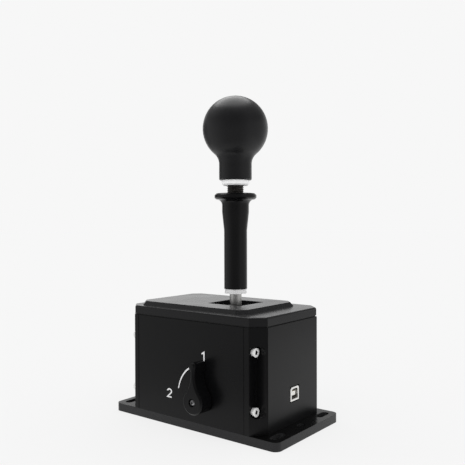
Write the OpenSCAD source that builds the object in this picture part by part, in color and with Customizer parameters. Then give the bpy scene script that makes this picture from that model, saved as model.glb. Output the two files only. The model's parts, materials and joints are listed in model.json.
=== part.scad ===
// Gear shifter for a driving rig: a machined box housing, a lever on a two-axis cradle
// and a mode selector on the side. Millimetres, origin under the base plate at its centre,
// +X towards the selector side, +Y towards the socket end, +Z up.

/* [Housing] */
// Width across the two side panels
body_w = 90; // [88:1:104]
// Length between the outer faces of the two end walls
body_len = 138.6; // [136:0.2:150]
// Cut on the four upright corners
corner_cut = 10; // [9:0.5:11]
// Depth of each end wall, measured from its outer face
wall_depth = 14.3; // [14:0.1:16]
// Thickness of each side panel
panel_t = 8.5; // [8.5:0.1:10]
// Height of the seam under the top cover
seam_z = 85; // [83:0.5:92]
// Height of the top cover from the seam to its ledge
cover_h = 7.4; // [7:0.1:9]
// Height of the raised plateau above the ledge
plateau_h = 3.2; // [2:0.1:4.5]
// Side of the square opening for the lever
opening = 33; // [32.5:0.5:38]

/* [Base plate] */
// Reach of each end flange beyond the housing
flange = 14.45; // [13.5:0.05:20]
// Thickness of the base plate
plate_t = 6.7; // [6:0.1:8]
// Corner radius of the base plate
plate_r = 5.5; // [3:0.5:8]
// Width of a fixing slot
slot_w = 6.5; // [5.5:0.1:7]
// Overall length of a fixing slot
slot_len = 15.5; // [12:0.5:18]
// Distance of a slot's middle from the plate's centre line
slot_x = 32; // [30:0.5:33]

/* [Lever] */
// Distance of the lever from the outer face of the socket end
lever_end = 56.3; // [55.3:0.5:58.3]
// Height of the point where both lever axes cross
pivot_z = 48; // [47:0.5:49]
// Diameter of the bright shaft
shaft_d = 10; // [9.5:0.1:10.5]
// Diameter of the lower part of the lockout sleeve
sleeve_d = 19; // [17.6:0.1:20]
// Diameter of the upper part of the lockout sleeve
sleeve_top_d = 22.2; // [20.5:0.1:24]
// Diameter of the pull-up ring
ring_d = 34.6; // [28:0.2:38]
// Height of the ring's underside above the sleeve's foot
ring_rise = 73.4; // [70:0.2:82]
// How far the sleeve can be pulled up
lift = 6; // [4:0.5:6]
// Diameter of the ball knob
knob_d = 53.7; // [46:0.1:58]
// Height of the ball's centre above the foot of the neck
knob_rise = 42.2; // [40:0.2:48]
// Diameter of the knob's neck
neck_d = 26.9; // [24:0.1:28]

/* [Mode selector] */
// Distance of the selector axis from the outer face of the socket end
selector_end = 53.3; // [51.3:0.5:55.3]
// Height of the selector axis
selector_z = 26.4; // [25:0.2:28]
// Diameter of the selector lever's round end
selector_hub_d = 19; // [17:0.5:20]
// Bevel round the outer face of the selector lever
selector_bevel = 1.2; // [0.6:0.1:1.5]
// Reach of the selector lever from its axis to its tip
selector_reach = 30; // [26:0.5:34]
// How far the selector lever stands out from the panel
selector_out = 13.5; // [12:0.5:16]
// Travel of the lock slide over a quarter turn of the selector
slide_travel = 4; // [3:0.2:4]

/* [Hidden] */
$fn = 64;
far = 400;
over = 1;
press_gap = 0.02;
run_gap = 0.08;
thread_gap = 0.05;
// Depth of a blind hole past the end of its screw
hole_spare = 1;

// Largest tilt of the lever on each axis, in degrees
tilt = 12;

half_w = body_w / 2;
half_len = body_len / 2;
plate_len = body_len + 2 * flange;
panel_in = half_w - panel_t;
wall_in = half_len - wall_depth;
lever_y = half_len - lever_end;
selector_y = half_len - selector_end;
ledge_z = seam_z + cover_h;
plateau_z = ledge_z + plateau_h;

// Cover: shadow groove above the seam, edge break, inset from the walls
groove_h = 1;
groove_in = 1.2;
cover_inset = 0.4;
edge_break = 0.8;
cover_skin = 5;
hollow_side = 2;
hollow_back = 7;
hollow_front = 3;

// Plateau outline, drawn in from the housing's ends, and its sloping sides
plateau_end_back = 8.3;
plateau_end_front = 22.3;
plateau_side = 9;
plateau_run = 2.6;
plateau_cut = 6.2;

// Corner pockets with two screws each
corner_in = 4.8;
corner_x = half_w - corner_in;
corner_z = [23.6, 67];
pocket_r = 4.5;
pocket_deep = 0.3;
pocket_floor = half_len - corner_cut - pocket_deep;
corner_screw_len = 16;

// Screw sizes: shank, clearance hole, tapered, countersunk and domed heads
m4 = 4;
m4_clear = 4.4;
m4_seat = 5.2;
m4_head = 7;
m4_head_h = 3.8;
m4_hex = 3.5;
m4_hex_deep = 2;
m4_flat = 8;
m4_flat_h = 2;
m3 = 3;
m3_clear = 3.3;
m3_head = 5.5;
m3_head_h = 1.7;
head_room = 0.4;

// Hollow behind the middle of each end wall
wall_skin = 5;
hollow_top = 6;
hollow_z0 = 12;
hollow_z1 = seam_z - hollow_top;

// Bolts that tie plate, end walls and cover together
tie_in_x = 13;
tie_in_y = 7.8;
tie_short = 2;
tie_spare = 0.4;
tie_x = half_w - tie_in_x;
tie_y = half_len - tie_in_y;
tie_top = ledge_z - tie_short;

// Fixing holes in the flanges of the plate
slot_back = 0.9;
flange_y = half_len + flange / 2 - slot_back;
centre_hole_d = 6.5;

// Cradle ring
hub_half = 9;
ring_gap = 1;
ring_t = 6;
ring_in_y = 13;
ring_h = 14;
ring_x = hub_half + ring_gap + ring_t;
ring_y = ring_in_y + ring_t;
pin_d = 8;
pin_past = 1.5;
bush_d = 11;
axle_flange_d = 13;
axle_flange_t = 0.8;

// Arms of the cradle over the two side springs
arm_room = 7.5;
arm_end = panel_in - arm_room;
arm_half = 10;
arm_t = 5;
spring_in = 4.6;
spring_x = arm_end - spring_in;
boss_d = 6;
boss_h = 2;

// Bearing blocks
block_gap = 1.5;
block_t = 10;
block_half = 13;
block_screw_x = 9;
block_screw_len = 18;
block_bush_d = 12;
block_flange_d = 15;
block_flange_t = 1.2;

// Lever hub, tail tube and gate rod
hub_up = 14;
hub_down = 14;
tail_d = 9;
tail_end = 31;
rod_d = 4;
rod_lift = 1.3;
rod_tip = plate_t + rod_lift;
socket_depth = 9;
stub_in = 4.5;
stub_past = 2;
stub_out = ring_x + stub_past;
clip_t = 1;
clip_d = 11.5;
clip_room = 0.7;
clip_groove = 0.5;
set_screw_d = 4;
set_screw_in = 0.5;

// Detent dimples and the spring plunger that faces them
detent_r = 11;
dimple_r = 1.6;
dimple_deep = 0.4;
plunger_d = 5;
plunger_past = 1;
skirt_t = 5;
skirt_half = 6;
plunger_ball = 1.5;
plunger_gap = 0.3;

// Gate plate: one cross channel and three lanes for the rod
cup_d = 11;
cup_gap = 1.4;
gate_t = 8;
gate_half_x = spring_x - cup_d / 2 - cup_gap;
gate_half_y = 17.5;
gate_r = 3;
gate_screw_in = 3.5;
gate_clear = 0.35;
gate_z = plate_t + gate_t;
gate_sunk = 0.3;
gate_seat = gate_z - m3_head_h - gate_sunk;
gate_bite = 4;
rod_reach = pivot_z - rod_tip;
lane_near = (pivot_z - gate_z) * tan(tilt) - rod_d / 2 / cos(tilt) - gate_clear;
lane_far = rod_reach * sin(tilt) + rod_d / 2 / cos(tilt) + gate_clear;
channel_half = rod_d / 2 + gate_clear;

// Side springs and their cups
cup_t = 5;
cup_boss = 3;
cup_spigot_d = 5;
cup_spigot = 3;
side_spring_r = 4;
side_wire_r = 0.6;
side_turns = 6.5;
spring_seat = 0.05;

// Lever heights, built up from the plateau
collar_rise = 7.9;
collar_z = plateau_z + collar_rise;
collar_h = 3.8;
collar_d = 18;
sleeve_z = collar_z + collar_h;
taper_from = 0.656;
taper_to = 0.858;
taper_z0 = sleeve_z + ring_rise * taper_from;
taper_z1 = sleeve_z + ring_rise * taper_to;
ring_z0 = sleeve_z + ring_rise;
rim_t = 4.8;
ring_z1 = ring_z0 + rim_t;
nut_gap = 0.6;
nut_z0 = ring_z1 + lift + nut_gap;
nut_h = 4.4;
nut_d = 22.4;
nut_bevel = 1.2;
neck_z = nut_z0 + nut_h;
knob_z = neck_z + knob_rise;
neck_fillet = 11;
neck_edge = 0.7;

// Sleeve bores, stem and what guides the sleeve
stem_d = 13.7;
stem_flange_r = 7.5;
stem_flange_h = 4;
stem_in_knob = 16.8;
sleeve_bore_r = 7.8;
step_below = 4.7;
sleeve_step = ring_z0 - step_below;
stem_z0 = sleeve_step - stem_flange_h;
stem_z1 = neck_z + stem_in_knob;
shaft_tip_d = 8;
shaft_tip = 14;
ring_fillet = 4.8;
ring_edge = 1.3;
spigot_h = 5.7;
spigot_d = 2 * sleeve_bore_r;
cross_rise = 3.5;
cross_z = sleeve_z + cross_rise;
cross_d = 2.5;
pin_bite = 0.8;
pin_half = spigot_d / 2 + pin_bite;
slot_spare = 0.3;
rod_past = 3.2;
rod_top = cross_z + rod_past;
bore_top = rod_top + lift + hole_spare;
return_r = 6.25;
return_wire_r = 0.55;
return_turns = 14;
insert_d = 17;
insert_cap = 1.4;
insert_z1 = stem_z1 + insert_cap;

// Socket
usb_w = 12;
usb_h = 11;
usb_x = -1;
usb_z = 29.6;
usb_skin = 1.65;
usb_cut = 1.4;
usb_gap = 0.5;
usb_out = 0.2;
usb_back = 3.5;
tongue_w = 5.6;
tongue_h = 3.2;
tongue_in = 1.2;

// Circuit board on spacers behind the front wall
spacer_h = 4.4;
spacer_d = 6;
board_t = 1.6;
board_lift = 6.3;
board_z0 = plate_t + board_lift;
board_z1 = 60;
board_y = wall_in - spacer_h;
board_tie_gap = 5;
board_edge = 3;
board_screw_x = tie_x - board_tie_gap;
board_half = board_screw_x + board_edge;
hollow_half = board_screw_x - spacer_d / 2;
board_screw_z = [17, 56];
board_bite = 5;
chip_t = 1.4;
chip_x = 14;
chip_up = 4;
magnet_d = 5;
magnet_h = 2;
magnet_gap = 0.8;
trunnion_end = board_y - board_t - chip_t - magnet_gap - magnet_h / 2;

// Selector shaft, cam of constant breadth and lock slide
shaft_in_d = 6;
shaft_past = 3;
cam_t = 3.3;
cam_gap = 0.1;
cam_low = 6;
cam_high = cam_low + slide_travel;
cam_rise = slide_travel / 90;
cam_step = 5;
cam_clear = 0.3;
cam_lead = pow(slide_travel / (PI / 2), 2) / (2 * cam_low);
cam_x0 = panel_in - cam_gap - cam_t;
slide_gap = 0.2;
cam_clip_d = 9;
selector_gap = 0.3;
selector_flange_d = 14;
selector_flange_t = 1;
selector_x0 = half_w + selector_flange_t + selector_gap;
selector_x1 = half_w + selector_out;
tip_r = 2.8;
waist_r = 22;
selector_bore = 8;
selector_floor = 4;
selector_screw_len = 9;
selector_seat = selector_x1 - m3_head_h;
slide_edge = 4;
slide_guide_d = 4;
slide_half = 15;
guide_back = 19;
guide_front = 17;
guide_head_d = 7;
guide_head_t = 2;
guide_hex = 3;
guide_hex_deep = 1.2;
guide_bite = 5;
guide_room = 0.2;
window_room = 0.8;
nose_t = 3;
nose_h = 4;
nose_up = 0.5;
nose_reach = 5;
lock_gap = 1;

// Colours
black = [0.07, 0.07, 0.075];
steel = [0.78, 0.78, 0.80];
bronze = [0.72, 0.52, 0.28];
green = [0.05, 0.25, 0.14];
white = [0.88, 0.87, 0.84];

// Box between two corners
module box(low, high) {
    translate(low) cube(high - low);
}

// Round bar along X
module bar_x(d, x0, x1) {
    translate([x0, 0, 0]) rotate([0, 90, 0]) cylinder(d = d, h = x1 - x0);
}

// Round bar along Y
module bar_y(d, y0, y1) {
    translate([0, y0, 0]) rotate([-90, 0, 0]) cylinder(d = d, h = y1 - y0);
}

// Round bar along Z
module bar_z(d, z0, z1) {
    translate([0, 0, z0]) cylinder(d = d, h = z1 - z0);
}

// Repeats its children on the other side of the middle plane
module both_x() {
    children();
    mirror([1, 0, 0]) children();
}

module both_y() {
    children();
    mirror([0, 1, 0]) children();
}

// Moves to the point where the lever axes cross
module at_pivot() {
    translate([0, lever_y, pivot_z]) children();
}

module at_lever() {
    translate([0, lever_y, 0]) children();
}

module at_selector() {
    translate([0, selector_y, selector_z]) children();
}

// Rounded rectangle
module rounded(w, l, r) {
    square([w - 2 * r, l], center = true);
    square([w, l - 2 * r], center = true);
    for (sx = [-1, 1], sy = [-1, 1])
        translate([sx * (w / 2 - r), sy * (l / 2 - r)]) circle(r);
}

// Slot with round ends, long along X
module slot(len, w) {
    square([len - w, w], center = true);
    for (s = [-1, 1]) translate([s * (len - w) / 2, 0]) circle(d = w);
}

// One pair of opposite sides of a bevelled block: profile points are [inset, height]
function sides(d, profile) = concat(
    [for (p = profile) [d - p[0], p[1]]],
    [for (i = [len(profile) - 1 : -1 : 0]) [profile[i][0] - d, profile[i][1]]]
);

// Block with cut corners whose eight sides follow one profile
module bevelled_block(hx, hy, cut, profile) {
    diagonal = (hx + hy - cut) / sqrt(2);
    intersection() {
        rotate([90, 0, 0]) linear_extrude(far, center = true) polygon(sides(hx, profile));
        rotate([90, 0, 90]) linear_extrude(far, center = true) polygon(sides(hy, profile));
        rotate([90, 0, 45]) linear_extrude(far, center = true) polygon(sides(diagonal, profile));
        rotate([90, 0, -45]) linear_extrude(far, center = true) polygon(sides(diagonal, profile));
    }
}

// Socket screw with a head that widens outwards, seat at z = 0, head up, shank down
module taper_screw(d, seat_d, head_d, head_h, len) {
    difference() {
        union() {
            cylinder(d1 = seat_d, d2 = head_d, h = head_h);
            bar_z(d, -len, 0);
        }
        translate([0, 0, head_h - m4_hex_deep]) cylinder(d = m4_hex, h = head_h, $fn = 6);
    }
}

// Domed screw, seat at z = 0, head up, shank down
module button_screw(d, head_d, head_h, len) {
    hex_floor = 0.15 * head_h;
    hex_d = 0.42 * head_d;
    dome = (head_d * head_d / 4 + head_h * head_h) / (2 * head_h);
    difference() {
        union() {
            intersection() {
                cylinder(d = head_d, h = head_h);
                translate([0, 0, head_h - dome]) sphere(dome);
            }
            bar_z(d, -len, 0);
        }
        translate([0, 0, hex_floor]) cylinder(d = hex_d, h = head_h, $fn = 6);
    }
}

// Countersunk screw, flat of the head at z = 0, shank up
module flat_screw(d, head_d, head_h, len) {
    hex_d = 0.6 * d;
    hex_deep = 0.7 * head_h;
    difference() {
        union() {
            cylinder(d1 = head_d, d2 = d, h = head_h);
            bar_z(d, 0, len);
        }
        translate([0, 0, -over]) cylinder(d = hex_d, h = over + hex_deep, $fn = 6);
    }
}

// Hole for a countersunk screw
module flat_hole(d, head_d, head_h, len) {
    cylinder(d1 = head_d, d2 = d, h = head_h);
    bar_z(d, -over, len);
}

// Flanged bush along X: flange first, then the sleeve
module bush_x(outer, inner, flange, flange_len, len) {
    difference() {
        union() {
            bar_x(flange, 0, flange_len);
            bar_x(outer, 0, flange_len + len);
        }
        bar_x(inner, -over, flange_len + len + over);
    }
}

// Coil spring standing on z = 0 with square ends left open
module coil(mean_r, wire_r, height, turns) {
    steps = 8;
    ring_sides = 6;
    rings = floor(turns * steps);
    rise = height - 2 * wire_r;
    points = [
        for (i = [0 : rings], k = [0 : ring_sides - 1])
            let (a = i * 360 / steps, b = k * 360 / ring_sides, r = mean_r + wire_r * cos(b))
            [r * cos(a), r * sin(a), wire_r + rise * i / rings + wire_r * sin(b)]
    ];
    skin = [
        for (i = [0 : rings - 1], k = [0 : ring_sides - 1])
            let (n = (k + 1) % ring_sides, p = i * ring_sides, q = p + ring_sides)
            [p + k, q + k, q + n, p + n]
    ];
    first = [for (k = [0 : ring_sides - 1]) k];
    last = [for (k = [ring_sides - 1 : -1 : 0]) rings * ring_sides + k];
    polyhedron(points, concat(skin, [first], [last]), convexity = 10);
    echo(least_gap_between_turns = rise / turns - 2 * wire_r);
}

// Places of the four tie bolts
module tie_places() {
    both_x() both_y() translate([tie_x, tie_y, 0]) children();
}

module base_plate() {
    color(black) difference() {
        linear_extrude(plate_t) difference() {
            rounded(body_w, plate_len, plate_r);
            both_y() {
                both_x() translate([slot_x, flange_y]) slot(slot_len, slot_w);
                translate([0, flange_y]) circle(d = centre_hole_d);
            }
        }
        tie_places() flat_hole(m4_clear, m4_flat, m4_flat_h, plate_t + over);
        block_places() flat_hole(m4_clear, m4_flat, m4_flat_h, plate_t + over);
        gate_places() bar_z(m3 + 2 * thread_gap, plate_t - gate_bite - hole_spare, plate_t + over);
        cup_places() bar_z(cup_spigot_d, plate_t - cup_spigot, plate_t + over);
    }
}

// End wall at the +Y end without its socket opening
module end_wall() {
    difference() {
        translate([0, 0, plate_t]) linear_extrude(seam_z - plate_t) polygon([
            [-half_w, wall_in], [half_w, wall_in], [half_w, half_len - corner_cut],
            [half_w - corner_cut, half_len], [corner_cut - half_w, half_len],
            [-half_w, half_len - corner_cut]
        ]);
        box([-hollow_half, wall_in - over, hollow_z0], [hollow_half, half_len - wall_skin, hollow_z1]);
        both_x() {
            corner_pocket();
            for (z = corner_z) translate([corner_x, 0, z]) bar_y(m4_clear, wall_in - over, half_len);
            translate([tie_x, tie_y, 0]) bar_z(m4_clear, 0, seam_z + over);
        }
    }
}

// Upright pocket with round ends, milled along the housing
module corner_pocket() {
    translate([corner_x, pocket_floor, (corner_z[0] + corner_z[1]) / 2])
        rotate([-90, 0, 0]) linear_extrude(far)
            rotate(90) slot(corner_z[1] - corner_z[0] + 2 * pocket_r, 2 * pocket_r);
}

module front_wall() {
    color(black) difference() {
        end_wall();
        translate([usb_x, 0, usb_z]) rotate([-90, 0, 0])
            linear_extrude(far) square([usb_w + 2 * usb_gap, usb_h + 2 * usb_gap], center = true);
        for (x = [-board_screw_x, board_screw_x], z = board_screw_z) translate([x, 0, z])
            bar_y(m3 + 2 * thread_gap, wall_in - over, wall_in + board_bite + hole_spare);
    }
}

module rear_wall() {
    color(black) mirror([0, 1, 0]) end_wall();
}

// Side panel at the +X side with a fine edge break beside each end wall
module side_panel() {
    edge = 0.6;
    difference() {
        translate([0, 0, plate_t]) linear_extrude(seam_z - plate_t) polygon([
            [panel_in, -wall_in], [half_w - edge, -wall_in], [half_w, edge - wall_in],
            [half_w, wall_in - edge], [half_w - edge, wall_in], [panel_in, wall_in]
        ]);
        both_y() for (z = corner_z) translate([corner_x, 0, z])
            bar_y(m4 + 2 * thread_gap, pocket_floor - corner_screw_len - hole_spare, wall_in + over);
    }
}

module selector_panel() {
    color(black) difference() {
        side_panel();
        at_selector() bar_x(bush_d + 2 * press_gap, 0, far);
        guide_places() bar_x(m3 + 2 * thread_gap, panel_in - over, panel_in + guide_bite + hole_spare);
    }
}

module plain_panel() {
    color(black) mirror([1, 0, 0]) side_panel();
}

module top_cover() {
    plateau_y0 = plateau_end_back - half_len;
    plateau_y1 = half_len - plateau_end_front;
    plateau_mid = (plateau_y0 + plateau_y1) / 2;
    plateau_hy = (plateau_y1 - plateau_y0) / 2;
    plateau_hx = half_w - plateau_side;
    cover_profile = [
        [groove_in, seam_z], [groove_in, seam_z + groove_h], [cover_inset, seam_z + groove_h],
        [cover_inset, ledge_z - edge_break], [cover_inset + edge_break, ledge_z]
    ];
    plateau_profile = [[-plateau_run, ledge_z - over], [-plateau_run, ledge_z], [0, plateau_z]];
    color(black) difference() {
        union() {
            bevelled_block(half_w, half_len, corner_cut, cover_profile);
            translate([0, plateau_mid, 0])
                bevelled_block(plateau_hx, plateau_hy, plateau_cut, plateau_profile);
        }
        box([hollow_side - plateau_hx, plateau_y0 + hollow_back, seam_z - over],
            [plateau_hx - hollow_side, plateau_y1 - hollow_front, plateau_z - cover_skin]);
        at_lever() translate([-opening / 2, -opening / 2, seam_z]) cube([opening, opening, far]);
        tie_places() bar_z(m4 + 2 * thread_gap, seam_z - over, tie_top + tie_spare);
    }
}

module corner_screws() {
    color(steel) both_x() both_y() for (z = corner_z)
        translate([corner_x, pocket_floor, z]) rotate([-90, 0, 0])
            taper_screw(m4, m4_seat, m4_head, m4_head_h, corner_screw_len);
}

module tie_bolts() {
    color(steel) tie_places() flat_screw(m4, m4_flat, m4_flat_h, tie_top);
}

// Places of the two bearing blocks' screws
module block_places() {
    for (x = [-block_screw_x, block_screw_x], s = [-1, 1])
        translate([x, lever_y + s * (ring_y + block_gap + block_t / 2), 0]) children();
}

// Bearing block on the +Y side of the cradle
module bearing_block() {
    y0 = ring_y + block_gap;
    difference() {
        union() {
            at_lever() box([-block_half, y0, plate_t], [block_half, y0 + block_t, pivot_z]);
            at_pivot() bar_y(2 * block_half, y0, y0 + block_t);
        }
        at_pivot() bar_y(block_bush_d + 2 * press_gap, y0 - over, y0 + block_t + over);
        block_places() bar_z(m4 + 2 * thread_gap, 0, block_screw_len + over);
    }
}

// Turns its children about the lever to the -Y side
module other_end() {
    translate([0, 2 * lever_y, 0]) mirror([0, 1, 0]) children();
}

module front_block() {
    color(steel) bearing_block();
}

module rear_block() {
    color(steel) other_end() bearing_block();
}

module block_bushes() {
    y0 = ring_y + block_gap - block_flange_t;
    color(bronze) for (turn = [90, -90])
        at_pivot() rotate([0, 0, turn]) translate([y0, 0, 0])
            bush_x(block_bush_d, pin_d + 2 * run_gap, block_flange_d, block_flange_t, block_t);
}

module block_screws() {
    color(steel) block_places() flat_screw(m4, m4_flat, m4_flat_h, block_screw_len);
}

// Places of the gate plate's screws
module gate_places() {
    for (sx = [-1, 1], sy = [-1, 1])
        translate([sx * (gate_half_x - gate_screw_in), lever_y + sy * (gate_half_y - gate_screw_in), 0])
            children();
}

module gate_plate() {
    color(steel) difference() {
        at_lever() translate([0, 0, plate_t]) linear_extrude(gate_t) difference() {
            rounded(2 * gate_half_x, 2 * gate_half_y, gate_r);
            square([2 * lane_far, 2 * channel_half], center = true);
            square([2 * channel_half, 2 * lane_far], center = true);
            for (s = [-1, 1])
                translate([s * (lane_near + lane_far) / 2, 0])
                    square([lane_far - lane_near, 2 * lane_far], center = true);
        }
        gate_places() {
            bar_z(m3 + 2 * thread_gap, 0, far);
            bar_z(m3_head + head_room, gate_seat, far);
        }
    }
}

module gate_screws() {
    color(steel) gate_places() translate([0, 0, gate_seat])
        button_screw(m3, m3_head, m3_head_h, gate_seat - plate_t + gate_bite);
}

// Places of the two side springs
module cup_places() {
    for (s = [-1, 1]) translate([s * spring_x, lever_y, 0]) children();
}

module spring_cups() {
    color(steel) cup_places() {
        bar_z(cup_spigot_d - 2 * press_gap, plate_t - cup_spigot, plate_t + over);
        bar_z(cup_d, plate_t, plate_t + cup_t);
        bar_z(boss_d, plate_t, plate_t + cup_t + cup_boss);
    }
}

module side_spring(side) {
    z0 = plate_t + cup_t + spring_seat;
    z1 = pivot_z - ring_h / 2 - spring_seat;
    color(steel) translate([side * spring_x, lever_y, z0])
        coil(side_spring_r, side_wire_r, z1 - z0, side_turns);
}

module left_spring() {
    side_spring(-1);
}

module right_spring() {
    side_spring(1);
}

// Places of the board's screws on the wall's inner face
module board_places() {
    for (x = [-board_screw_x, board_screw_x], z = board_screw_z)
        translate([x, board_y - board_t, z]) children();
}

module circuit_board() {
    color(green) difference() {
        box([-board_half, board_y - board_t, board_z0], [board_half, board_y, board_z1]);
        board_places() bar_y(m3_clear, -over, board_t + over);
    }
}

module board_chips() {
    chip = 5;
    processor = 10;
    places = [[0, pivot_z, chip], [-chip_x, usb_z, processor], [chip_x, usb_z + chip_up, chip]];
    color(black) for (c = places)
        translate([c[0] - c[2] / 2, board_y - board_t - chip_t, c[1] - c[2] / 2])
            cube([c[2], chip_t, c[2]]);
}

module board_spacers() {
    color(steel) board_places() difference() {
        bar_y(spacer_d, board_t, board_t + spacer_h);
        bar_y(m3_clear, 0, board_t + spacer_h + over);
    }
}

module board_screws() {
    color(steel) board_places() rotate([90, 0, 0])
        button_screw(m3, m3_head, m3_head_h, board_t + spacer_h + board_bite);
}

// Outline of the socket with two cut upper corners
module socket_outline(grow) {
    w = usb_w / 2 + grow;
    h = usb_h / 2 + grow;
    polygon([[-w, -h], [w, -h], [w, h - usb_cut], [w - usb_cut, h], [usb_cut - w, h], [-w, h - usb_cut]]);
}

// Stands an outline upright and runs it along Y
module along_y(y0, y1) {
    translate([0, y1, 0]) rotate([90, 0, 0]) linear_extrude(y1 - y0) children();
}

module usb_shell() {
    color(steel) translate([usb_x, 0, usb_z]) difference() {
        along_y(board_y, half_len + usb_out) socket_outline(0);
        along_y(board_y + usb_back, half_len + usb_out + over) socket_outline(-usb_skin);
    }
}

module usb_tongue() {
    color(white) translate([usb_x, 0, usb_z])
        box([-tongue_w / 2, board_y + usb_back, -tongue_h / 2],
            [tongue_w / 2, half_len - tongue_in, tongue_h / 2]);
}

module selector_bush() {
    color(bronze) at_selector() translate([half_w + selector_flange_t, 0, 0]) mirror([1, 0, 0])
        bush_x(bush_d, selector_bore + 2 * run_gap, selector_flange_d, selector_flange_t, panel_t);
}

// Places of the lock slide's two guide screws
module guide_places() {
    for (y = [-guide_back, guide_front]) at_selector() translate([0, y, 0]) children();
}

module guide_screws() {
    head_x1 = cam_x0 - slide_gap;
    head_x0 = head_x1 - guide_head_t;
    color(steel) guide_places() difference() {
        union() {
            bar_x(guide_head_d, head_x0, head_x1);
            bar_x(slide_guide_d, head_x1 - over, panel_in);
            bar_x(m3, panel_in - over, panel_in + guide_bite);
        }
        translate([head_x0 - over, 0, 0]) rotate([0, 90, 0])
            cylinder(d = guide_hex, h = over + guide_hex_deep, $fn = 6);
    }
}

module cradle() {
    low = -ring_h / 2;
    color(steel) at_pivot() difference() {
        union() {
            box([-ring_x, -ring_y, low], [ring_x, ring_y, -low]);
            box([-arm_end, -arm_half, low], [arm_end, arm_half, low + arm_t]);
            for (s = [-1, 1])
                translate([s * spring_x, 0, 0]) bar_z(boss_d, low - boss_h, low + over);
        }
        box([-hub_half - ring_gap, -ring_in_y, -far], [hub_half + ring_gap, ring_in_y, far]);
        bar_y(pin_d + 2 * press_gap, -far, far);
        bar_x(bush_d + 2 * press_gap, -ring_x - over, ring_x + over);
        both_x() bar_x(clip_d + 2 * clip_room, ring_x, stub_out + clip_room);
    }
    color(steel) at_pivot() difference() {
        box([-hub_half - ring_gap - skirt_t, -skirt_half, -hub_down],
            [-hub_half - ring_gap, skirt_half, low]);
        translate([0, 0, -detent_r]) bar_x(plunger_d + 2 * thread_gap, -far, 0);
    }
}

module trunnions() {
    color(steel) {
        difference() {
            at_pivot() bar_y(pin_d, ring_in_y, trunnion_end - lever_y);
            translate([0, 0, pivot_z]) bar_y(magnet_d + 2 * press_gap, trunnion_end - magnet_h / 2, far);
        }
        at_pivot() bar_y(pin_d, -ring_y - block_gap - block_t - pin_past, -ring_in_y);
    }
}

module axle_bushes() {
    color(bronze) both_x() at_pivot() translate([hub_half + ring_gap - axle_flange_t, 0, 0])
        bush_x(bush_d, pin_d + 2 * run_gap, axle_flange_d, axle_flange_t, ring_t);
}

module detent_plunger() {
    tip = -hub_half - plunger_gap;
    color(steel) at_pivot() translate([0, 0, -detent_r]) {
        bar_x(plunger_d, -hub_half - ring_gap - skirt_t - plunger_past, -hub_half - ring_gap);
        intersection() {
            translate([tip - plunger_ball, 0, 0]) sphere(plunger_ball);
            bar_x(plunger_d, -hub_half - ring_gap - over, 0);
        }
    }
}

module tilt_magnet() {
    color(steel) translate([0, 0, pivot_z])
        bar_y(magnet_d, trunnion_end - magnet_h / 2, trunnion_end + magnet_h / 2);
}

module lever_hub() {
    color(steel) at_pivot() difference() {
        union() {
            box([-hub_half, -hub_half, -hub_down], [hub_half, hub_half, hub_up]);
            bar_z(tail_d, -tail_end, 0);
        }
        bar_z(shaft_d, hub_up - socket_depth, far);
        bar_z(rod_d + 2 * run_gap, -far, far);
        both_x() bar_x(pin_d + 2 * press_gap, stub_in, far);
        bar_set_screws(set_screw_d + 2 * thread_gap, hub_half + over);
        for (a = [-tilt, 0, tilt])
            translate([dimple_deep - dimple_r - hub_half, 0, 0])
                rotate([a, 0, 0]) translate([0, 0, -detent_r]) sphere(dimple_r);
    }
}

// Two screws across the hub that clamp the shaft
module bar_set_screws(d, reach) {
    both_y() translate([0, 0, hub_up - socket_depth / 2]) bar_y(d, shaft_d / 2, reach);
}

module stub_axles() {
    color(steel) both_x() at_pivot() difference() {
        bar_x(pin_d, stub_in, stub_out);
        difference() {
            bar_x(pin_d + over, stub_out - 2 * clip_t, stub_out - clip_t);
            bar_x(pin_d - 2 * clip_groove, 0, far);
        }
    }
}

module axle_clips() {
    color(steel) both_x() at_pivot() difference() {
        bar_x(clip_d, stub_out - 2 * clip_t, stub_out - clip_t);
        bar_x(pin_d - 2 * clip_groove + 2 * press_gap, 0, far);
    }
}

module set_screws() {
    color(black) at_pivot() bar_set_screws(set_screw_d, hub_half - set_screw_in);
}

module lever_shaft() {
    color(steel) at_lever() difference() {
        union() {
            bar_z(shaft_d - 2 * press_gap, pivot_z + hub_up - socket_depth, stem_z0);
            bar_z(shaft_tip_d, stem_z0 - over, stem_z0 + shaft_tip);
        }
        bar_z(rod_d + 2 * run_gap, 0, bore_top);
        translate([-shaft_d, 0, (2 * cross_z + lift) / 2]) rotate([0, 90, 0])
            linear_extrude(2 * shaft_d) slot(lift + cross_d + 2 * slot_spare, cross_d + slot_spare);
    }
}

module lever_stem() {
    color(black) at_lever() difference() {
        union() {
            bar_z(2 * stem_flange_r, stem_z0, sleeve_step);
            bar_z(stem_d, stem_z0, stem_z1);
        }
        bar_z(shaft_tip_d + 2 * press_gap, stem_z0 - over, stem_z0 + shaft_tip);
    }
}

module jam_nut() {
    color(steel) at_lever() rotate_extrude() polygon([
        [stem_d / 2 + press_gap, nut_z0], [nut_d / 2 - nut_bevel, nut_z0],
        [nut_d / 2, nut_z0 + nut_bevel], [nut_d / 2, neck_z], [stem_d / 2 + press_gap, neck_z]
    ]);
}

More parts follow.
